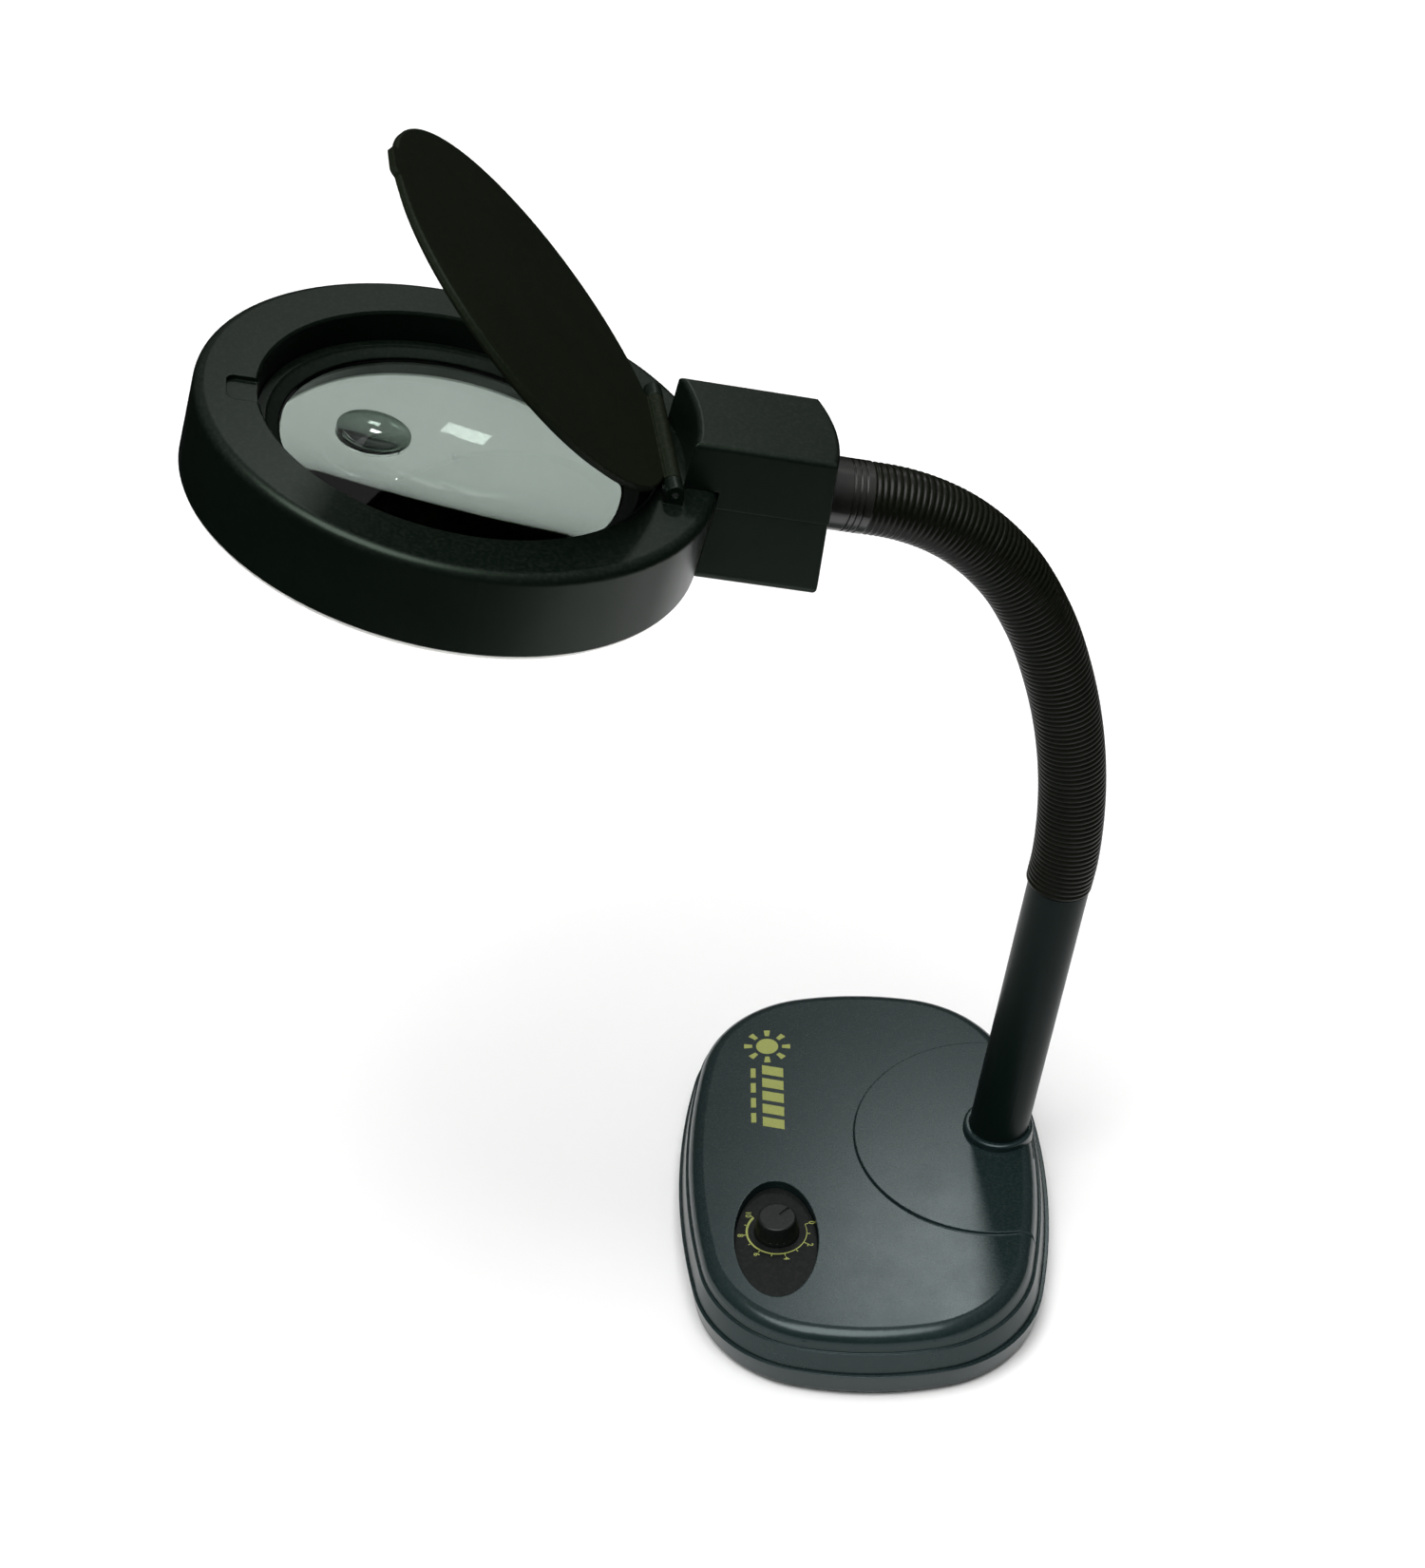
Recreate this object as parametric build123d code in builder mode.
from build123d import *
from math import cos, radians, sin, sqrt
import os

# Desk magnifying lamp: a weighted base with a dimmer dial, a rigid stem that turns into a gooseneck, and a
# round lighted head with a lens in a well and a flip-up lens lid. Millimetres. +Z is up, the origin is the
# centre of the base on the table, -Y is the front where the user sits, +X is the user's right.

# ---- driving dimensions --------------------------------------------------------------------------
# Base shell
BASE_HALF_X = 89.2
BASE_HALF_Y = 65.0
BASE_END_RADIUS = 112.0
BASE_SIDE_RADIUS = 253.0
BASE_CORNER_RADIUS = 44.0
BASE_TOP_Z = 26.0
CREASE_Z = 19.0
PARTING_Z = 11.0
BOTTOM_Z = 2.0
FLOOR_Z = 4.0
WALL = 2.4
# Insets of the base outline from its widest line: at the two sides, at the front, at the back
FOOT_INSET = (1.4, 1.4, 1.4)
RIM_INSET = (0.2, 0.2, 0.2)
SKIRT_INSET = (1.4, 1.0, 1.4)
CREASE_INSET = (2.8, 2.6, 3.4)
SHOULDER_INSET = (3.6, 3.3, 4.2)
TOP_INSET = (4.8, 4.4, 6.4)
SHOULDER_ROUND = 5.0
PLATEAU_RADIUS = 50.0
PLATEAU_CENTRE = (-9.0, 44.0)
PLATEAU_RISE = 1.0

# Dial, dimmer and its knob
RECESS_CENTRE = (39.8, -31.3)
RECESS_HALF_X = 26.9
RECESS_HALF_Y = 14.4
RECESS_FLOOR_Z = 22.0
DIAL_PLATE_T = 0.8
KNOB_CENTRE = (34.0, -31.0)
KNOB_BASE_RADIUS = 7.8
KNOB_TOP_RADIUS = 6.4
KNOB_BOTTOM_Z = 23.3
KNOB_TOP_Z = 30.3
KNOB_OFF_ANGLE = 135.0
SHAFT_RADIUS = 2.5
RUNNING_CLEARANCE = 0.05

# Neck: its root on the base, the plane it bends in, and its runs (length, heading at start, heading at end),
# each heading in degrees forward from straight up
NECK_ROOT = (-12.2, 47.6, 28.0)
NECK_YAW = 7.5
STEM_LENGTH = 112.0
NECK_RUNS = (
    (STEM_LENGTH, -7.5, -7.5),
    (103.5, -7.5, 20.0),
    (30.0, 20.0, 34.0),
    (52.0, 34.0, 75.3),
    (19.0, 75.3, 75.3),
)
STEM_RADIUS = 10.3
STEM_BORE = 8.3
STEM_TAIL = 18.4
GOOSENECK_RADIUS = 11.1
GOOSENECK_BORE = 7.0
FERRULE_BORE = 6.0
JOINT_GAP = 0.3
FIRST_JOINT_AT = 124.0
LAST_JOINT_AT = 297.5
JOINT_COUNT = 8

# Head, in its own frame: origin at the ring's centre on its top face, x to the user's right, y to the back
RING_RADIUS = 77.5
RING_DEPTH = 27.0
RING_WALL = 2.2
WELL_RADIUS = 59.0
LENS_RADIUS = 53.4
LENS_SEAT_Z = -14.5
LENS_EDGE_T = 3.0
LENS_SAG = 3.7
INSERT_RADIUS = 11.0
INSERT_Y = -24.0
LED_COUNT = 40
LED_CIRCLE = 62.5
BOX_HALF_X = 18.6
BOX_FRONT_RADIUS = 67.0
BOX_REAR_RADIUS = 60.0
BOX_REAR_Y = 113.3
NECK_END_Y = 109.8
BOX_TOP_Z = 15.3
BOX_PARTING_Z = -5.5
BOX_BOTTOM_Z = -31.2
BOX_WALL = 2.2
HINGE_Y = 60.0
HINGE_Z = 3.2
HINGE_BARREL = 2.8
HINGE_HALF = 22.3
LUG_WIDTH = 6.0
PIN_RADIUS = 1.0
LID_RADIUS = 61.0
LID_T = 2.0
LID_BOTTOM_Z = 0.6
LID_OPEN_ANGLE = 39.0

os.makedirs("parts", exist_ok=True)


def save(part, label):
    """Labels a finished piece and writes it as one STEP file."""
    part.label = label
    export_step(part, f"parts/{label}.step")


# ---- frames of the neck and the head -------------------------------------------------------------
FORWARD = Vector(sin(radians(NECK_YAW)), -cos(radians(NECK_YAW)), 0)
ACROSS = Vector(cos(radians(NECK_YAW)), sin(radians(NECK_YAW)), 0)


def heading_vector(heading):
    """Unit vector in the neck's plane, its heading in degrees forward from straight up."""
    return FORWARD * sin(radians(heading)) + Vector(0, 0, cos(radians(heading)))


def neck_point(length):
    """Point on the neck's centreline at a length from its root, and the heading there."""
    point = Vector(*NECK_ROOT)
    heading = NECK_RUNS[0][1]
    for run, start, end in NECK_RUNS:
        part_run = min(run, length)
        if part_run <= 0:
            break
        heading = start + (end - start) * part_run / run
        if start == end:
            point += heading_vector(start) * part_run
        else:
            radius = run / radians(end - start)
            forward = radius * (cos(radians(start)) - cos(radians(heading)))
            up = radius * (sin(radians(heading)) - sin(radians(start)))
            point += FORWARD * forward + Vector(0, 0, up)
        length -= part_run
    return point, heading


NECK_LENGTH = sum(run[0] for run in NECK_RUNS)
neck_end, end_heading = neck_point(NECK_LENGTH)
head_y = -heading_vector(end_heading)
head_z = ACROSS.cross(head_y)
head_origin = neck_end - head_y * NECK_END_Y - head_z * BOX_PARTING_Z
HEAD = Plane(head_origin, x_dir=ACROSS, z_dir=head_z)
STEM = Plane(Vector(*NECK_ROOT), x_dir=ACROSS, z_dir=heading_vector(NECK_RUNS[0][1]))


def upright(plane):
    """Plane through the same origin that holds the given plane's x and z axes, for profiles to revolve."""
    return Plane(plane.origin, x_dir=plane.x_dir, z_dir=-plane.y_dir)


def side_on(plane, x=0.0):
    """Plane square to the given plane's x axis at x: its own x is the given y, its own y the given z."""
    return Plane(plane.origin + plane.x_dir * x, x_dir=plane.y_dir, z_dir=plane.x_dir)


hinge_point = head_origin + head_y * HINGE_Y + head_z * HINGE_Z
lid_z = head_z.rotate(Axis((0, 0, 0), ACROSS), -LID_OPEN_ANGLE)
lid_y = lid_z.cross(ACROSS)
LID = Plane(hinge_point - lid_y * HINGE_Y - lid_z * HINGE_Z, x_dir=ACROSS, z_dir=lid_z)


# ---- base shell ----------------------------------------------------------------------------------
def corner_arc(half_x, half_y):
    """Start, middle and end of the corner arc that touches the end arc and the side arc from inside."""
    end_centre = Vector(half_x - BASE_END_RADIUS, 0)
    side_centre = Vector(0, half_y - BASE_SIDE_RADIUS)
    end_reach = BASE_END_RADIUS - BASE_CORNER_RADIUS
    side_reach = BASE_SIDE_RADIUS - BASE_CORNER_RADIUS
    between = side_centre - end_centre
    along = (end_reach**2 - side_reach**2 + between.length**2) / (2 * between.length)
    off = sqrt(end_reach**2 - along**2)
    direction = between.normalized()
    centre = end_centre + direction * along + Vector(-direction.Y, direction.X) * off
    start = end_centre + (centre - end_centre).normalized() * BASE_END_RADIUS
    end = side_centre + (centre - side_centre).normalized() * BASE_SIDE_RADIUS
    middle = centre + (start + end - centre * 2).normalized() * BASE_CORNER_RADIUS
    return start, middle, end


def base_outline(z, insets, wall=0.0):
    """Outline of the base at a height: eight arcs that run smoothly together, drawn in by the insets."""
    side, front, rear = insets
    half_x = BASE_HALF_X - side - wall
    half_y = BASE_HALF_Y - (front + rear) / 2 - wall
    start, middle, end = corner_arc(half_x, half_y)
    with BuildSketch(Plane((0, (front - rear) / 2, z))) as outline:
        with BuildLine():
            ThreePointArc((start.X, -start.Y), (half_x, 0), (start.X, start.Y))
            ThreePointArc(start, middle, end)
            ThreePointArc((end.X, end.Y), (0, half_y), (-end.X, end.Y))
            ThreePointArc((-end.X, end.Y), (-middle.X, middle.Y), (-start.X, start.Y))
            ThreePointArc((-start.X, start.Y), (-half_x, 0), (-start.X, -start.Y))
            ThreePointArc((-start.X, -start.Y), (-middle.X, -middle.Y), (-end.X, -end.Y))
            ThreePointArc((-end.X, -end.Y), (0, -half_y), (end.X, -end.Y))
            ThreePointArc((end.X, -end.Y), (middle.X, -middle.Y), (start.X, -start.Y))
        make_face()
    return outline.sketch


BASE_SCREWS = [(x, y) for x in (-71.0, 71.0) for y in (-28.0, 28.0)]
BALLAST_SCREWS = [(x, y) for x in (-45.0, 45.0) for y in (-20.0, 20.0)]
BOARD_CENTRE = (-24.0, -26.0)
BOARD_SCREWS = [(BOARD_CENTRE[0] + x, BOARD_CENTRE[1] + y) for x in (-25.0, 25.0) for y in (-11.0, 11.0)]
FEET = [(x, y) for x in (-58.0, 58.0) for y in (-40.0, 40.0)]
CAVITY_TOP_Z = BASE_TOP_Z - 2.5
BOARD_TOP_Z = 17.0
BOSS_FOOT_Z = PARTING_Z + 0.1
NECK_BOSS_Z = 16.0
NECK_BOSS_RADIUS = 17.0
COLLAR_RADIUS = 12.2
COLLAR_SEAT_Z = 24.0
COLLAR_TOP_Z = 29.6
SPOT_FACE_AT = -10.6

with BuildPart() as plateau:
    loft(
        [base_outline(CREASE_Z, SHOULDER_INSET), base_outline(BASE_TOP_Z + PLATEAU_RISE, TOP_INSET)],
        ruled=True,
    )
    fillet(plateau.faces().sort_by(Axis.Z)[-1].edges(), SHOULDER_ROUND)
    with BuildSketch(Plane.XY.offset(CREASE_Z)):
        with Locations(PLATEAU_CENTRE):
            Circle(PLATEAU_RADIUS)
    extrude(amount=20, taper=20, mode=Mode.INTERSECT)

with BuildPart() as base_cover:
    loft([base_outline(CREASE_Z, SHOULDER_INSET), base_outline(BASE_TOP_Z, TOP_INSET)], ruled=True)
    fillet(base_cover.faces().sort_by(Axis.Z)[-1].edges(), SHOULDER_ROUND)
    add(plateau.part)
    loft([base_outline(PARTING_Z, SKIRT_INSET), base_outline(CREASE_Z, CREASE_INSET)], ruled=True)
    # the hollow inside
    loft(
        [base_outline(PARTING_Z, SKIRT_INSET, WALL), base_outline(CREASE_Z, SHOULDER_INSET, WALL)],
        ruled=True,
        mode=Mode.SUBTRACT,
    )
    loft(
        [base_outline(CREASE_Z, SHOULDER_INSET, WALL), base_outline(CAVITY_TOP_Z, TOP_INSET, WALL)],
        ruled=True,
        mode=Mode.SUBTRACT,
    )
    # tray under the dial, screw bosses and the thick boss that carries the neck
    with BuildSketch(Plane.XY.offset(RECESS_FLOOR_Z - 2)):
        with Locations(RECESS_CENTRE):
            Ellipse(RECESS_HALF_X + WALL, RECESS_HALF_Y + WALL)
    extrude(until=Until.NEXT)
    with BuildSketch(Plane.XY.offset(BOSS_FOOT_Z)):
        with Locations(*BASE_SCREWS):
            Circle(4.2)
    extrude(amount=CAVITY_TOP_Z + 0.5 - BOSS_FOOT_Z)
    with BuildSketch(Plane.XY.offset(BOARD_TOP_Z)):
        with Locations(*BOARD_SCREWS):
            Circle(3.0)
    extrude(amount=CAVITY_TOP_Z + 0.5 - BOARD_TOP_Z)
    with BuildSketch(Plane.XY.offset(NECK_BOSS_Z)):
        with Locations(NECK_ROOT[:2]):
            Circle(NECK_BOSS_RADIUS)
        add(base_outline(0, SHOULDER_INSET, WALL / 2), mode=Mode.INTERSECT)
    extrude(amount=CAVITY_TOP_Z + 0.5 - NECK_BOSS_Z)
    # the oval dial recess and its bush hole
    with BuildSketch(Plane.XY.offset(RECESS_FLOOR_Z)):
        with Locations(RECESS_CENTRE):
            Ellipse(RECESS_HALF_X, RECESS_HALF_Y)
    extrude(amount=10, mode=Mode.SUBTRACT)
    with BuildSketch(Plane.XY.offset(RECESS_FLOOR_Z - 3)):
        with Locations(KNOB_CENTRE):
            Circle(3.7)
    extrude(amount=5, mode=Mode.SUBTRACT)
    # pilot holes, the collar's seat, the leaning hole for the stem and the face its nut pulls against
    with BuildSketch(Plane.XY.offset(BOSS_FOOT_Z)):
        with Locations(*BASE_SCREWS):
            Circle(1.3)
    extrude(amount=9, mode=Mode.SUBTRACT)
    with BuildSketch(Plane.XY.offset(BOARD_TOP_Z)):
        with Locations(*BOARD_SCREWS):
            Circle(1.0)
    extrude(amount=5, mode=Mode.SUBTRACT)
    with BuildSketch(Plane.XY.offset(COLLAR_SEAT_Z)):
        with Locations(NECK_ROOT[:2]):
            Circle(COLLAR_RADIUS + 0.05)
    extrude(amount=10, mode=Mode.SUBTRACT)
    with BuildSketch(STEM.offset(-STEM_TAIL)):
        Circle(STEM_RADIUS + 0.1)
    extrude(amount=30, mode=Mode.SUBTRACT)
    with BuildSketch(STEM.offset(SPOT_FACE_AT)):
        Circle(13.6)
    extrude(amount=-8, mode=Mode.SUBTRACT)
save(base_cover.part, "base_cover")

INLET_X = 25.0
INLET_Z = 7.2
INLET_REAR_Y = 59.4

with BuildPart() as base_bottom:
    loft([base_outline(BOTTOM_Z, FOOT_INSET), base_outline(PARTING_Z, RIM_INSET)], ruled=True)
    fillet(base_bottom.faces().sort_by(Axis.Z)[0].edges(), 1.2)
    loft(
        [base_outline(FLOOR_Z, FOOT_INSET, WALL), base_outline(PARTING_Z, RIM_INSET, WALL)],
        ruled=True,
        mode=Mode.SUBTRACT,
    )
    with BuildSketch(Plane.XY.offset(FLOOR_Z)):
        with Locations(*BASE_SCREWS):
            Circle(4.4)
    extrude(amount=PARTING_Z - FLOOR_Z)
    with Locations(*[(x, y, BOTTOM_Z) for x, y in BASE_SCREWS]):
        Cylinder(3.4, 4.0, align=(Align.CENTER, Align.CENTER, Align.MIN), mode=Mode.SUBTRACT)
        Cylinder(1.8, 12.0, align=(Align.CENTER, Align.CENTER, Align.MIN), mode=Mode.SUBTRACT)
    with Locations(*[(x, y, BOTTOM_Z) for x, y in BALLAST_SCREWS]):
        Cylinder(3.7, 1.0, align=(Align.CENTER, Align.CENTER, Align.MIN), mode=Mode.SUBTRACT)
        Cylinder(2.1, 4.0, align=(Align.CENTER, Align.CENTER, Align.MIN), mode=Mode.SUBTRACT)
    with BuildSketch(Plane((INLET_X, 50, INLET_Z), x_dir=(1, 0, 0), z_dir=(0, 1, 0))):
        Circle(3.1)
    extrude(amount=20, mode=Mode.SUBTRACT)
save(base_bottom.part, "base_bottom")

with BuildPart() as rubber_feet:
    with BuildSketch():
        with Locations(*FEET):
            Circle(9.0)
    extrude(amount=BOTTOM_Z)
    fillet(rubber_feet.faces().group_by(Axis.Z)[0].edges(), 0.5)
save(rubber_feet.part, "rubber_feet")

BALLAST_TOP_Z = 12.0
with BuildPart() as ballast_plate:
    with BuildSketch(Plane.XY.offset(FLOOR_Z)):
        RectangleRounded(116, 92, 10)
        with Locations(NECK_ROOT[:2]):
            Circle(19.0, mode=Mode.SUBTRACT)
        with Locations((INLET_X, 44)):
            Rectangle(13, 14, mode=Mode.SUBTRACT)
    extrude(amount=BALLAST_TOP_Z - FLOOR_Z)
    chamfer(ballast_plate.faces().sort_by(Axis.Z)[-1].edges(), 0.8)
    with BuildSketch(Plane.XY.offset(FLOOR_Z)):
        with Locations(*BALLAST_SCREWS):
            Circle(2.0)
    extrude(amount=6, mode=Mode.SUBTRACT)
save(ballast_plate.part, "ballast_plate")


def pan_screws(places, head_z, head_radius, head_height, shank_radius, shank_length, plane=Plane.XY):
    """Equal pan-head screws that point along the plane's z axis, their heads starting at head_z."""
    with BuildPart() as screws:
        with BuildSketch(plane.offset(head_z)):
            with Locations(*places):
                Circle(head_radius)
        extrude(amount=head_height)
        with BuildSketch(plane.offset(head_z + head_height)):
            with Locations(*places):
                Circle(shank_radius)
        extrude(amount=shank_length)
        with BuildSketch(plane.offset(head_z)):
            with Locations(*places):
                Rectangle(head_radius * 1.2, 0.5)
                Rectangle(0.5, head_radius * 1.2)
        extrude(amount=head_height * 0.5, mode=Mode.SUBTRACT)
    return screws.part


save(pan_screws(BASE_SCREWS, BOTTOM_Z + 1.8, 3.2, 2.1, 1.25, 12.0), "base_screws")
save(pan_screws(BALLAST_SCREWS, BOTTOM_Z + 0.1, 3.5, 0.9, 1.95, 6.5), "ballast_screws")
save(pan_screws(BOARD_SCREWS, BOARD_TOP_Z - 3.0, 2.2, 1.3, 0.95, 6.0), "board_screws")

# ---- dial and dimmer -----------------------------------------------------------------------------
DIAL_TOP_Z = RECESS_FLOOR_Z + DIAL_PLATE_T
BUSH_RADIUS = 3.5
POT_TOP_Z = RECESS_FLOOR_Z - 2.1
POT_BOTTOM_Z = 12.6
BUSH_TOP_Z = 25.2

with BuildPart() as dial_plate:
    with BuildSketch(Plane.XY.offset(RECESS_FLOOR_Z)):
        with Locations(RECESS_CENTRE):
            Ellipse(RECESS_HALF_X - 0.2, RECESS_HALF_Y - 0.2)
        with Locations(KNOB_CENTRE):
            Circle(BUSH_RADIUS + 0.1, mode=Mode.SUBTRACT)
    extrude(amount=DIAL_PLATE_T)
save(dial_plate.part, "dial_plate")

with BuildPart() as dimmer_body:
    with BuildSketch(Plane.XY.offset(POT_BOTTOM_Z)):
        with Locations(KNOB_CENTRE):
            Circle(8.5)
        with Locations((KNOB_CENTRE[0] - 9.5, KNOB_CENTRE[1])):
            Rectangle(6, 13)
    extrude(amount=POT_TOP_Z - POT_BOTTOM_Z)
    with BuildSketch(Plane.XY.offset(POT_TOP_Z)):
        with Locations(KNOB_CENTRE):
            Circle(BUSH_RADIUS)
    extrude(amount=BUSH_TOP_Z - POT_TOP_Z)
    with BuildSketch(Plane.XY.offset(POT_BOTTOM_Z + 1.2)):
        with Locations(KNOB_CENTRE):
            Circle(SHAFT_RADIUS + RUNNING_CLEARANCE)
    extrude(amount=20, mode=Mode.SUBTRACT)
save(dimmer_body.part, "dimmer_body")

with BuildPart() as dimmer_terminals:
    with BuildSketch(Plane.XY.offset(POT_BOTTOM_Z + 2)):
        with Locations(*[(KNOB_CENTRE[0] - 15.0, KNOB_CENTRE[1] + y) for y in (-4, 0, 4)]):
            Rectangle(5, 1.6)
    extrude(amount=0.6)
save(dimmer_terminals.part, "dimmer_terminals")

with BuildPart() as dimmer_nut:
    with BuildSketch(Plane.XY.offset(DIAL_TOP_Z)):
        with Locations(KNOB_CENTRE):
            RegularPolygon(5.7, 6)
            Circle(BUSH_RADIUS + 0.02, mode=Mode.SUBTRACT)
    extrude(amount=1.9)
save(dimmer_nut.part, "dimmer_nut")

with BuildPart() as dimmer_shaft:
    with BuildSketch(Plane.XY.offset(POT_BOTTOM_Z + 1.5)):
        with Locations(KNOB_CENTRE):
            Circle(SHAFT_RADIUS)
    extrude(amount=28.6 - POT_BOTTOM_Z - 1.5)
save(dimmer_shaft.part, "dimmer_shaft")

pointer_x = (cos(radians(KNOB_OFF_ANGLE)), sin(radians(KNOB_OFF_ANGLE)), 0)
POINTER_PLANE = Plane((*KNOB_CENTRE, KNOB_TOP_Z), x_dir=pointer_x, z_dir=(0, 0, 1))
with BuildPart() as dimmer_knob:
    with BuildSketch(Plane.XY.offset(KNOB_BOTTOM_Z)):
        with Locations(KNOB_CENTRE):
            Circle(KNOB_BASE_RADIUS)
    with BuildSketch(Plane.XY.offset(KNOB_TOP_Z)):
        with Locations(KNOB_CENTRE):
            Circle(KNOB_TOP_RADIUS)
    loft()
    fillet(dimmer_knob.faces().sort_by(Axis.Z)[-1].edges(), 0.8)
    with BuildSketch(Plane.XY.offset(KNOB_BOTTOM_Z + 1.2)):
        with Locations(KNOB_CENTRE):
            with PolarLocations(KNOB_BASE_RADIUS + 0.35, 20):
                Circle(0.75)
    extrude(amount=10, mode=Mode.SUBTRACT)
    with BuildSketch(Plane.XY.offset(KNOB_BOTTOM_Z)):
        with Locations(KNOB_CENTRE):
            Circle(6.2)
    extrude(amount=2.8, mode=Mode.SUBTRACT)
    with BuildSketch(Plane.XY.offset(KNOB_BOTTOM_Z)):
        with Locations(KNOB_CENTRE):
            Circle(SHAFT_RADIUS + 0.01)
    extrude(amount=5.4, mode=Mode.SUBTRACT)
    with BuildSketch(POINTER_PLANE):
        with Locations((3.6, 0)):
            Rectangle(4.4, 0.9)
    extrude(amount=-0.5, mode=Mode.SUBTRACT)
save(dimmer_knob.part, "dimmer_knob")

# ---- driver board and power inlet ----------------------------------------------------------------
BOARD_T = 1.6
with BuildPart() as driver_board:
    with BuildSketch(Plane.XY.offset(BOARD_TOP_Z - BOARD_T - 0.05)):
        with Locations(BOARD_CENTRE):
            RectangleRounded(58, 30, 2)
        with Locations(*BOARD_SCREWS):
            Circle(1.2, mode=Mode.SUBTRACT)
    extrude(amount=BOARD_T)
save(driver_board.part, "driver_board")

PART_Z = BOARD_TOP_Z - 0.05
with BuildPart() as board_components:
    with BuildSketch(Plane.XY.offset(PART_Z)):
        with Locations(*[(BOARD_CENTRE[0] + x, BOARD_CENTRE[1] + 4) for x in (-14, -3)]):
            Circle(4.0)
        with Locations((BOARD_CENTRE[0] + 10, BOARD_CENTRE[1] - 4)):
            RectangleRounded(10, 10, 1.5)
        with Locations((BOARD_CENTRE[0] - 8, BOARD_CENTRE[1] - 8)):
            Rectangle(9, 5)
        with Locations((BOARD_CENTRE[0] + 12, BOARD_CENTRE[1] + 9)):
            Rectangle(10, 5)
    extrude(amount=5.0)
save(board_components.part, "board_components")

with BuildPart() as power_inlet:
    with BuildSketch(Plane((INLET_X, INLET_REAR_Y, INLET_Z), x_dir=(1, 0, 0), z_dir=(0, 1, 0))):
        Rectangle(9, 6.2)
    extrude(amount=-13)
    with BuildSketch(Plane((INLET_X, INLET_REAR_Y, INLET_Z), x_dir=(1, 0, 0), z_dir=(0, 1, 0))):
        Circle(2.8)
    extrude(amount=-10, mode=Mode.SUBTRACT)
    with BuildSketch(Plane((INLET_X, INLET_REAR_Y - 10, INLET_Z), x_dir=(1, 0, 0), z_dir=(0, 1, 0))):
        Circle(1.0)
    extrude(amount=-2, mode=Mode.SUBTRACT)
save(power_inlet.part, "power_inlet")

with BuildPart() as inlet_pin:
    with BuildSketch(Plane((INLET_X, INLET_REAR_Y - 12, INLET_Z), x_dir=(1, 0, 0), z_dir=(0, 1, 0))):
        Circle(1.0)
    extrude(amount=11)
    fillet(inlet_pin.faces().sort_by(Axis.Y)[-1].edges(), 0.6)
save(inlet_pin.part, "inlet_pin")


def lead(points, radii, radius):
    """Insulated lead: a round wire along straight runs joined by tangent arcs."""
    with BuildPart() as wire:
        with BuildLine() as route:
            FilletPolyline(*points, radius=radii)
        with BuildSketch(Plane(points[0], z_dir=Vector(*points[1]) - Vector(*points[0]))):
            Circle(radius)
        sweep(path=route.line)
    return wire.part


inlet_lead_route = [
    (INLET_X, INLET_REAR_Y - 13.1, INLET_Z + 1.5),
    (INLET_X, INLET_REAR_Y - 15.2, INLET_Z + 1.5),
    (INLET_X - 1, INLET_REAR_Y - 19, 14.0),
    (14, 0, 14.0),
    (-6, -12, 14.0),
    (-10, -20, 14.0),
]
save(lead(inlet_lead_route, [1.0, 2.0, 10, 8], 1.0), "inlet_lead")

dimmer_lead_route = [
    (KNOB_CENTRE[0] - 17.7, KNOB_CENTRE[1], POT_BOTTOM_Z + 2.3),
    (10, -31.5, 14.4),
    (2, -33, 14.0),
    (-8, -33, 14.0),
]
save(lead(dimmer_lead_route, [6, 8], 1.0), "dimmer_lead")

# ---- neck ----------------------------------------------------------------------------------------
with BuildPart() as neck_collar:
    with BuildSketch(Plane.XY.offset(COLLAR_SEAT_Z)):
        with Locations(NECK_ROOT[:2]):
            Circle(COLLAR_RADIUS)
    extrude(amount=COLLAR_TOP_Z - COLLAR_SEAT_Z)
    fillet(neck_collar.faces().sort_by(Axis.Z)[-1].edges(), 1.0)
    with BuildSketch(STEM.offset(-STEM_TAIL)):
        Circle(STEM_RADIUS + 0.05)
    extrude(amount=40, mode=Mode.SUBTRACT)
save(neck_collar.part, "neck_collar")

WASHER_T = 1.2
NUT_T = 5.0

with BuildPart() as neck_stem:
    with BuildSketch(STEM.offset(-STEM_TAIL)):
        Circle(STEM_RADIUS)
    extrude(amount=STEM_TAIL + STEM_LENGTH)
    with BuildSketch(STEM.offset(-STEM_TAIL)):
        Circle(STEM_BORE)
    extrude(amount=STEM_TAIL + STEM_LENGTH, mode=Mode.SUBTRACT)
    chamfer(neck_stem.faces().sort_by(Axis(STEM.origin, STEM.z_dir))[0].edges(), 0.5)
save(neck_stem.part, "neck_stem")

with BuildPart() as neck_washer:
    with BuildSketch(STEM.offset(SPOT_FACE_AT - 0.05)):
        Circle(13.2)
        Circle(STEM_RADIUS + 0.1, mode=Mode.SUBTRACT)
    extrude(amount=-WASHER_T)
save(neck_washer.part, "neck_washer")

with BuildPart() as neck_nut:
    with BuildSketch(STEM.offset(SPOT_FACE_AT - 0.05 - WASHER_T)):
        RegularPolygon(12.9, 6)
        Circle(STEM_RADIUS + 0.02, mode=Mode.SUBTRACT)
    extrude(amount=-NUT_T)
save(neck_nut.part, "neck_nut")

JOINT_SPACING = (LAST_JOINT_AT - FIRST_JOINT_AT) / (JOINT_COUNT - 1)
joint_points = [neck_point(FIRST_JOINT_AT + JOINT_SPACING * i)[0] for i in range(JOINT_COUNT)]
CUP_RADIUS = GOOSENECK_RADIUS + JOINT_GAP
CUP_RIM = 4.0


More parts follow.
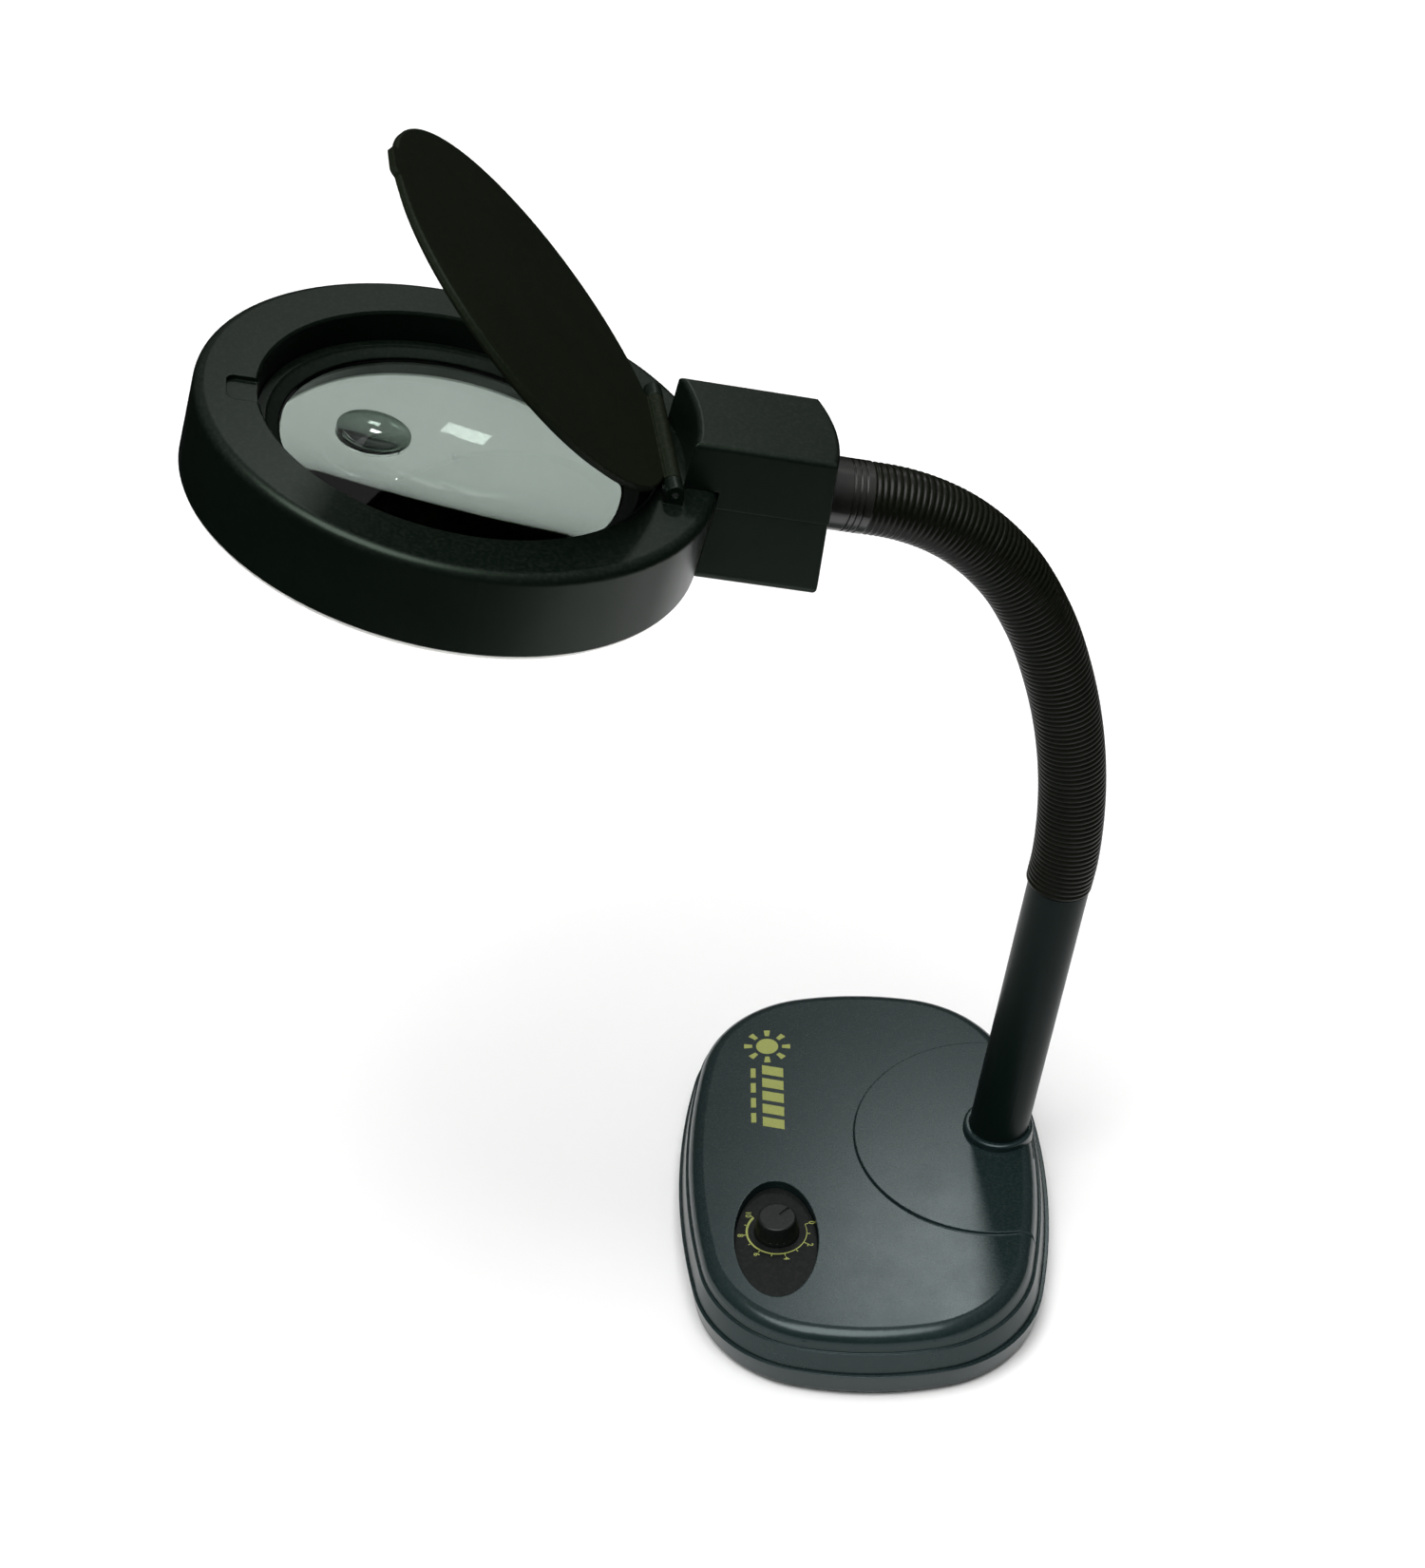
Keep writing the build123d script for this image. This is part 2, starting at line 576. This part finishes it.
def gooseneck_link(start, end, cup_end, dome_end):
    """Length of gooseneck from start to end: a cup around the dome below it, and a dome of its own on top."""
    direction = (end - start).normalized()
    along = Plane(start, x_dir=ACROSS, z_dir=direction)
    reach = (end - start).length
    low = CUP_RIM if cup_end else 0
    with BuildPart() as link:
        with BuildSketch(along.offset(low)):
            Circle(GOOSENECK_RADIUS)
        extrude(amount=reach - low)
        if dome_end:
            with Locations(along.offset(reach)):
                Sphere(GOOSENECK_RADIUS)
        if cup_end:
            with Locations(along):
                Sphere(CUP_RADIUS, mode=Mode.SUBTRACT)
        with BuildSketch(along.offset(low - 1)):
            Circle(GOOSENECK_BORE)
        extrude(amount=reach + GOOSENECK_RADIUS + 2, mode=Mode.SUBTRACT)
    return link.part


gooseneck_start = neck_point(STEM_LENGTH + 0.35)[0]
save(gooseneck_link(gooseneck_start, joint_points[0], False, True), "gooseneck_root")
for number in range(JOINT_COUNT - 1):
    link_part = gooseneck_link(joint_points[number], joint_points[number + 1], True, True)
    save(link_part, f"gooseneck_link_{number + 1}")

# ---- head: ring housing, lens and light ----------------------------------------------------------
HEAD_UP = upright(HEAD)
SEAT_INNER = 50.5
SKIRT_INNER = 53.5
SKIRT_OUTER = 55.5
WELL_FOOT_RADIUS = 58.2
WELL_WALL = 61.0
BOARD_Z = -18.0
RING_BOSSES_AT = 68.0
TONGUE_HALF = 10.0
TONGUE_Z = -21.0
TONGUE_SCREWS = [(-6.5, 81.2), (6.5, 81.2)]
WIRE_Z = -10.5

with BuildPart() as ring_housing:
    with BuildSketch(HEAD_UP):
        with BuildLine() as housing_line:
            Polyline(
                (RING_RADIUS - 3, 0),
                (WELL_RADIUS + 0.8, 0),
                (WELL_RADIUS, -0.8),
                (WELL_FOOT_RADIUS, -12),
                (WELL_FOOT_RADIUS, LENS_SEAT_Z),
                (SEAT_INNER, LENS_SEAT_Z),
                (SEAT_INNER, LENS_SEAT_Z - 2),
                (SKIRT_INNER, -RING_DEPTH + 0.9),
                (SKIRT_OUTER, -RING_DEPTH + 0.9),
                (SKIRT_OUTER, LENS_SEAT_Z - 2),
                (WELL_WALL, LENS_SEAT_Z - 2),
                (WELL_WALL, -2.4),
                (RING_RADIUS - RING_WALL, -2.4),
                (RING_RADIUS - RING_WALL, -RING_DEPTH),
                (RING_RADIUS, -RING_DEPTH),
                (RING_RADIUS, -3),
            )
            RadiusArc((RING_RADIUS, -3), (RING_RADIUS - 3, 0), -3)
        make_face()
    revolve(axis=Axis(HEAD.origin, HEAD.z_dir))
    # bosses for the light board
    with BuildSketch(HEAD.offset(BOARD_Z)):
        with PolarLocations(RING_BOSSES_AT, 4, start_angle=45):
            Circle(3.0)
    extrude(amount=-2.4 - BOARD_Z + 0.2)
    with BuildSketch(HEAD.offset(BOARD_Z)):
        with PolarLocations(RING_BOSSES_AT, 4, start_angle=45):
            Circle(1.0)
    extrude(amount=8, mode=Mode.SUBTRACT)
    # tongue at the back that the junction box is screwed to
    with BuildSketch(HEAD.offset(TONGUE_Z)):
        with Locations((0, 80.0)):
            Rectangle(2 * TONGUE_HALF, 9)
        Circle(RING_RADIUS - 1, mode=Mode.SUBTRACT)
    extrude(amount=7.5)
    with BuildSketch(HEAD.offset(TONGUE_Z)):
        with Locations(*TONGUE_SCREWS):
            Circle(1.0)
    extrude(amount=6.5, mode=Mode.SUBTRACT)
    with BuildSketch(Plane(HEAD.from_local_coords((0, 72, WIRE_Z)), x_dir=HEAD.x_dir, z_dir=HEAD.y_dir)):
        Circle(2.4)
    extrude(amount=16, mode=Mode.SUBTRACT)
    # hinge lugs
    with BuildSketch(side_on(HEAD, -HINGE_HALF - 0.3), side_on(HEAD, HINGE_HALF + 0.3 + LUG_WIDTH)):
        with Locations((HINGE_Y, HINGE_Z)):
            Circle(HINGE_BARREL)
        with Locations((HINGE_Y, (HINGE_Z - 1) / 2)):
            Rectangle(2 * HINGE_BARREL, HINGE_Z + 1)
    extrude(amount=-LUG_WIDTH)
    with BuildSketch(side_on(HEAD, -40)):
        with Locations((HINGE_Y, HINGE_Z)):
            Circle(PIN_RADIUS)
    extrude(amount=80, mode=Mode.SUBTRACT)
    # finger notch in front of the well, under the lid's tab
    with BuildSketch(HEAD.offset(-1.5)):
        with Locations((0, -62.5)):
            RectangleRounded(13, 11, 3)
    extrude(amount=4, mode=Mode.SUBTRACT)
save(ring_housing.part, "ring_housing")

EDGE_TOP_Z = LENS_SEAT_Z + LENS_EDGE_T
INSERT_SEAT_Z = -10.4
INSERT_EDGE_Z = -7.6
INSERT_RISE = 2.0


def dome_radius(half, rise):
    """Radius of a spherical cap with a half width and a rise."""
    return (half**2 + rise**2) / (2 * rise)



with BuildPart() as magnifier_lens:
    with BuildSketch(HEAD_UP):
        with BuildLine():
            Line((0, EDGE_TOP_Z + LENS_SAG), (0, LENS_SEAT_Z - LENS_SAG))
            dome = dome_radius(SEAT_INNER, LENS_SAG)
            RadiusArc((0, LENS_SEAT_Z - LENS_SAG), (SEAT_INNER, LENS_SEAT_Z), -dome)
            Polyline(
                (SEAT_INNER, LENS_SEAT_Z),
                (LENS_RADIUS, LENS_SEAT_Z),
                (LENS_RADIUS, EDGE_TOP_Z),
                (SEAT_INNER, EDGE_TOP_Z),
            )
            RadiusArc((SEAT_INNER, EDGE_TOP_Z), (0, EDGE_TOP_Z + LENS_SAG), -dome)
        make_face()
    revolve(axis=Axis(HEAD.origin, HEAD.z_dir))
    with BuildSketch(HEAD.offset(INSERT_SEAT_Z)):
        with Locations((0, INSERT_Y)):
            Circle(INSERT_RADIUS)
    extrude(amount=6, mode=Mode.SUBTRACT)
save(magnifier_lens.part, "magnifier_lens")

INSERT_AXIS = Plane(HEAD.from_local_coords((0, INSERT_Y, 0)), x_dir=HEAD.x_dir, z_dir=HEAD.z_dir)
with BuildPart() as insert_lens:
    with BuildSketch(upright(INSERT_AXIS)):
        with BuildLine():
            Polyline(
                (0, INSERT_EDGE_Z + INSERT_RISE),
                (0, INSERT_SEAT_Z + 0.05),
                (INSERT_RADIUS - 0.05, INSERT_SEAT_Z + 0.05),
                (INSERT_RADIUS - 0.05, INSERT_EDGE_Z),
            )
            cap = dome_radius(INSERT_RADIUS - 0.05, INSERT_RISE)
            RadiusArc((INSERT_RADIUS - 0.05, INSERT_EDGE_Z), (0, INSERT_EDGE_Z + INSERT_RISE), -cap)
        make_face()
    revolve(axis=Axis(INSERT_AXIS.origin, INSERT_AXIS.z_dir))
save(insert_lens.part, "insert_lens")

with BuildPart() as lens_gasket:
    with BuildSketch(HEAD.offset(LENS_SEAT_Z)):
        Circle(WELL_FOOT_RADIUS - 0.05)
        Circle(LENS_RADIUS + 0.05, mode=Mode.SUBTRACT)
    extrude(amount=LENS_EDGE_T)
save(lens_gasket.part, "lens_gasket")

with BuildPart() as lens_retaining_ring:
    with BuildSketch(HEAD_UP):
        with BuildLine():
            Polyline(
                (51.0, EDGE_TOP_Z + 0.05),
                (WELL_FOOT_RADIUS - 0.1, EDGE_TOP_Z + 0.05),
                (WELL_FOOT_RADIUS - 0.1, -9.4),
                (55.4, -9.2),
                (54.6, -9.8),
                close=True,
            )
        make_face()
    revolve(axis=Axis(HEAD.origin, HEAD.z_dir))
save(lens_retaining_ring.part, "lens_retaining_ring")

LIGHT_BOARD_T = 1.6
with BuildPart() as light_board:
    with BuildSketch(HEAD.offset(BOARD_Z - LIGHT_BOARD_T)):
        Circle(73.5)
        Circle(57.0, mode=Mode.SUBTRACT)
        with PolarLocations(RING_BOSSES_AT, 4, start_angle=45):
            Circle(1.3, mode=Mode.SUBTRACT)
    extrude(amount=LIGHT_BOARD_T)
save(light_board.part, "light_board")

with BuildPart() as light_emitters:
    with BuildSketch(HEAD.offset(BOARD_Z - LIGHT_BOARD_T)):
        with PolarLocations(LED_CIRCLE, LED_COUNT):
            Rectangle(2.8, 3.5)
    extrude(amount=-0.8)
save(light_emitters.part, "light_emitters")

boss_angles = [radians(45 + 90 * boss) for boss in range(4)]
boss_places = [(RING_BOSSES_AT * cos(angle), RING_BOSSES_AT * sin(angle)) for angle in boss_angles]
save(pan_screws(boss_places, BOARD_Z - LIGHT_BOARD_T - 1.3, 2.3, 1.3, 0.95, 7.0, HEAD), "light_board_screws")

with BuildPart() as diffuser_ring:
    with BuildSketch(HEAD_UP):
        with BuildLine():
            Polyline(
                (SKIRT_INNER + 0.3, -RING_DEPTH + 0.85),
                (SKIRT_INNER + 0.3, -RING_DEPTH - 0.6),
                (SKIRT_INNER + 1.3, -RING_DEPTH - 1.8),
                (RING_RADIUS - 1.3, -RING_DEPTH - 1.8),
                (RING_RADIUS - 0.5, -RING_DEPTH - 1.0),
                (RING_RADIUS - 0.5, -RING_DEPTH - 0.05),
                (RING_RADIUS - RING_WALL - 0.1, -RING_DEPTH - 0.05),
                (RING_RADIUS - RING_WALL - 0.1, -22),
                (RING_RADIUS - RING_WALL - 1.5, -22),
                (RING_RADIUS - RING_WALL - 1.5, -RING_DEPTH + 0.8),
                (SKIRT_OUTER + 1.6, -RING_DEPTH + 0.8),
                (SKIRT_OUTER + 1.6, -22),
                (SKIRT_OUTER + 0.2, -22),
                (SKIRT_OUTER + 0.2, -RING_DEPTH + 0.85),
                close=True,
            )
        make_face()
    revolve(axis=Axis(HEAD.origin, HEAD.z_dir))
save(diffuser_ring.part, "diffuser_ring")

# ---- junction box behind the ring ----------------------------------------------------------------
BOX_SCREWS = [(-14.3, 102.0), (14.3, 102.0)]
RIB_Y = 92.0
RIB_T = 2.4


def box_outline(z, draw_in, rear_y):
    """Plan of the junction box at a height in the head: straight sides and a rounded back."""
    half = BOX_HALF_X - draw_in
    bulge = BOX_REAR_RADIUS - sqrt(BOX_REAR_RADIUS**2 - half**2)
    with BuildSketch(HEAD.offset(z)) as outline:
        with BuildLine():
            Polyline((half, rear_y - bulge), (half, 60), (-half, 60), (-half, rear_y - bulge))
            ThreePointArc((-half, rear_y - bulge), (0, rear_y), (half, rear_y - bulge))
        make_face()
    return outline.sketch


FERRULE = Plane(joint_points[-1], x_dir=ACROSS, z_dir=-HEAD.y_dir)
FERRULE_Y = HEAD.to_local_coords(joint_points[-1]).Y


def ferrule_plane(y):
    """Plane square to the ferrule where it crosses y in the head's frame, facing the ring."""
    return FERRULE.offset(FERRULE_Y - y)


REAR_RAKE = 0.14
THREAD_RADIUS = 8.0
BOX_TUCK = 0.4


def rear_y(z):
    """Rearmost y of the junction box at a height in the head; the rear face leans back towards its foot."""
    return BOX_REAR_Y - REAR_RAKE * (z - BOX_PARTING_Z)


with BuildPart() as top_hollow:
    loft(
        [
            box_outline(BOX_PARTING_Z, BOX_WALL, rear_y(BOX_PARTING_Z) - BOX_WALL),
            box_outline(BOX_TOP_Z - BOX_WALL, BOX_WALL, rear_y(BOX_TOP_Z - BOX_WALL) - BOX_WALL),
        ],
        ruled=True,
    )
    # stay clear of the floor that rests on the ring, the front wall, the rib and the screw bosses
    with BuildSketch(HEAD.offset(2.3)):
        Circle(RING_RADIUS + 2.3)
    extrude(amount=-20, mode=Mode.SUBTRACT)
    with BuildSketch(HEAD.offset(2.3)):
        Circle(BOX_FRONT_RADIUS + BOX_WALL)
    extrude(amount=20, mode=Mode.SUBTRACT)
    with BuildSketch(ferrule_plane(RIB_Y + RIB_T)):
        Rectangle(60, 60)
    extrude(amount=RIB_T, mode=Mode.SUBTRACT)
    with BuildSketch(HEAD.offset(BOX_PARTING_Z)):
        with Locations(*BOX_SCREWS):
            Circle(2.4)
    extrude(amount=25, mode=Mode.SUBTRACT)

with BuildPart() as junction_box_top:
    loft(
        [box_outline(BOX_PARTING_Z, 0, rear_y(BOX_PARTING_Z)), box_outline(BOX_TOP_Z, 0, rear_y(BOX_TOP_Z))],
        ruled=True,
    )
    with BuildSketch(HEAD.offset(0.05)):
        Circle(BOX_FRONT_RADIUS)
    extrude(amount=30, mode=Mode.SUBTRACT)
    with BuildSketch(HEAD.offset(0.05)):
        Circle(RING_RADIUS + 0.1)
    extrude(amount=-30, mode=Mode.SUBTRACT)
    fillet(junction_box_top.faces().sort_by(Axis(HEAD.origin, HEAD.z_dir))[-1].edges(), 1.6)
    add(top_hollow.part, mode=Mode.SUBTRACT)
    with BuildSketch(HEAD.offset(BOX_PARTING_Z)):
        with Locations(*BOX_SCREWS):
            Circle(1.0)
    extrude(amount=8, mode=Mode.SUBTRACT)
    with BuildSketch(ferrule_plane(RIB_Y + RIB_T + 1)):
        Circle(THREAD_RADIUS + 0.2)
    extrude(amount=RIB_T + 2, mode=Mode.SUBTRACT)
    with BuildSketch(ferrule_plane(120)):
        Circle(GOOSENECK_RADIUS + 0.1)
    extrude(amount=120 - RIB_Y - RIB_T - 0.05, mode=Mode.SUBTRACT)
save(junction_box_top.part, "junction_box_top")

BOTTOM_TOP_Z = BOX_PARTING_Z - 0.05
BOTTOM_FLOOR_Z = BOX_BOTTOM_Z + BOX_WALL

with BuildPart() as bottom_hollow:
    loft(
        [
            box_outline(BOTTOM_FLOOR_Z, BOX_TUCK + BOX_WALL, rear_y(BOTTOM_FLOOR_Z) - BOX_TUCK - BOX_WALL),
            box_outline(BOTTOM_TOP_Z, BOX_TUCK + BOX_WALL, rear_y(BOTTOM_TOP_Z) - BOX_TUCK - BOX_WALL),
        ],
        ruled=True,
    )
    with BuildSketch(ferrule_plane(RIB_Y + RIB_T)):
        Rectangle(60, 60)
    extrude(amount=RIB_T, mode=Mode.SUBTRACT)
    with BuildSketch(HEAD.offset(BOX_BOTTOM_Z)):
        with Locations(*BOX_SCREWS):
            Circle(2.4)
    extrude(amount=30, mode=Mode.SUBTRACT)
    with BuildSketch(HEAD.offset(BOX_BOTTOM_Z)):
        with Locations(*TONGUE_SCREWS):
            Circle(3.0)
    extrude(amount=TONGUE_Z - 0.05 - BOX_BOTTOM_Z, mode=Mode.SUBTRACT)

with BuildPart() as junction_box_bottom:
    loft(
        [
            box_outline(BOX_BOTTOM_Z, BOX_TUCK, rear_y(BOX_BOTTOM_Z) - BOX_TUCK),
            box_outline(BOTTOM_TOP_Z, BOX_TUCK, rear_y(BOTTOM_TOP_Z) - BOX_TUCK),
        ],
        ruled=True,
    )
    fillet(junction_box_bottom.faces().sort_by(Axis(HEAD.origin, HEAD.z_dir))[0].edges(), 2.6)
    with BuildSketch(HEAD.offset(BOX_BOTTOM_Z - 1)):
        Circle(RING_RADIUS + 0.1)
    extrude(amount=30, mode=Mode.SUBTRACT)
    add(bottom_hollow.part, mode=Mode.SUBTRACT)
    with BuildSketch(HEAD.offset(BOX_BOTTOM_Z)):
        with Locations(*BOX_SCREWS, *TONGUE_SCREWS):
            Circle(1.3)
    extrude(amount=30, mode=Mode.SUBTRACT)
    with BuildSketch(HEAD.offset(BOX_BOTTOM_Z)):
        with Locations(*BOX_SCREWS, *TONGUE_SCREWS):
            Circle(2.4)
    extrude(amount=2.0, mode=Mode.SUBTRACT)
    with BuildSketch(ferrule_plane(RIB_Y + RIB_T + 1)):
        Circle(THREAD_RADIUS + 0.2)
    extrude(amount=RIB_T + 2, mode=Mode.SUBTRACT)
    with BuildSketch(ferrule_plane(120)):
        Circle(GOOSENECK_RADIUS + 0.1)
    extrude(amount=120 - RIB_Y - RIB_T - 0.05, mode=Mode.SUBTRACT)
save(junction_box_bottom.part, "junction_box_bottom")

SCREW_HEAD_Z = BOX_BOTTOM_Z + 0.4
save(pan_screws(BOX_SCREWS, SCREW_HEAD_Z, 2.2, 1.5, 0.95, 28.8, HEAD), "box_screws")
save(pan_screws(TONGUE_SCREWS, SCREW_HEAD_Z, 2.2, 1.5, 0.95, 13.8, HEAD), "tongue_screws")

FERRULE_GROOVES = 3
FIRST_GROOVE_Y = 118.6
RIB_PITCH = 1.9

with BuildPart() as head_ferrule:
    with BuildSketch(FERRULE.offset(CUP_RIM)):
        Circle(GOOSENECK_RADIUS)
    extrude(amount=FERRULE_Y - CUP_RIM - RIB_Y - RIB_T - 0.1)
    with Locations(FERRULE):
        Sphere(CUP_RADIUS, mode=Mode.SUBTRACT)
    with BuildSketch(ferrule_plane(RIB_Y + RIB_T + 2)):
        Circle(THREAD_RADIUS)
    extrude(amount=10.4)
    with BuildSketch(FERRULE):
        Circle(FERRULE_BORE)
    extrude(amount=60, mode=Mode.SUBTRACT)
    # grooves that carry on the ribs of the gooseneck
    for groove in range(FERRULE_GROOVES):
        with BuildSketch(ferrule_plane(FIRST_GROOVE_Y + groove * RIB_PITCH)):
            Circle(GOOSENECK_RADIUS + 1)
            Circle(GOOSENECK_RADIUS - 0.5, mode=Mode.SUBTRACT)
        extrude(amount=0.6, mode=Mode.SUBTRACT)
save(head_ferrule.part, "head_ferrule")

with BuildPart() as ferrule_nut:
    with BuildSketch(ferrule_plane(RIB_Y - 0.05)):
        RegularPolygon(10.4, 6)
        Circle(THREAD_RADIUS + 0.02, mode=Mode.SUBTRACT)
    extrude(amount=4.6)
save(ferrule_nut.part, "ferrule_nut")

# ---- flip-up lens lid ----------------------------------------------------------------------------
with BuildPart() as hinge_pin:
    with BuildSketch(side_on(HEAD, -HINGE_HALF - LUG_WIDTH)):
        with Locations((HINGE_Y, HINGE_Z)):
            Circle(PIN_RADIUS - 0.01)
    extrude(amount=2 * (HINGE_HALF + LUG_WIDTH))
save(hinge_pin.part, "hinge_pin")

with BuildPart() as lens_lid:
    with BuildSketch(LID.offset(LID_BOTTOM_Z)):
        Circle(LID_RADIUS)
    extrude(amount=LID_T)
    fillet(lens_lid.faces().sort_by(Axis(LID.origin, LID.z_dir))[-1].edges(), 0.8)
    with BuildSketch(LID.offset(LID_BOTTOM_Z)):
        with Locations((0, -LID_RADIUS + 2.0)):
            RectangleRounded(15, 7, 2.5)
        with Locations((0, HINGE_Y - 5)):
            Rectangle(2 * HINGE_HALF, 10)
    extrude(amount=LID_T)
    with BuildSketch(side_on(LID, -HINGE_HALF)):
        with Locations((HINGE_Y, HINGE_Z)):
            Circle(HINGE_BARREL)
        with Locations((HINGE_Y - 1.5, LID_BOTTOM_Z + 1.5)):
            Rectangle(3.0, 3.0)
    extrude(amount=2 * HINGE_HALF)
    with BuildSketch(LID.offset(LID_BOTTOM_Z)):
        Circle(57.6)
        Circle(56.0, mode=Mode.SUBTRACT)
    extrude(amount=-1.6)
    with BuildSketch(side_on(LID, -40)):
        with Locations((HINGE_Y, HINGE_Z)):
            Circle(PIN_RADIUS + RUNNING_CLEARANCE)
    extrude(amount=80, mode=Mode.SUBTRACT)
save(lens_lid.part, "lens_lid")

# ---- leads in the neck and the head --------------------------------------------------------------
neck_lead_route = [
    (-16, -20, 14.0),
    (-12.2, 31.0, 13.8),
    (-12.2, 31.4, 7.0),
    tuple(STEM.from_local_coords((0, 0, -STEM_TAIL - 2.7))),
    tuple(STEM.from_local_coords((0, 0, STEM_LENGTH - 6))),
]
save(lead(neck_lead_route, [1.8, 1.8, 2.0], 1.0), "neck_lead")

head_lead_route = [
    tuple(HEAD.from_local_coords(point))
    for point in ((0, 118, -5.5), (0, 84, -5.5), (0, 81, WIRE_Z), (0, 70, WIRE_Z), (0, 70, BOARD_Z + 0.05))
]
save(lead(head_lead_route, [2, 2, 2], 1.2), "head_lead")
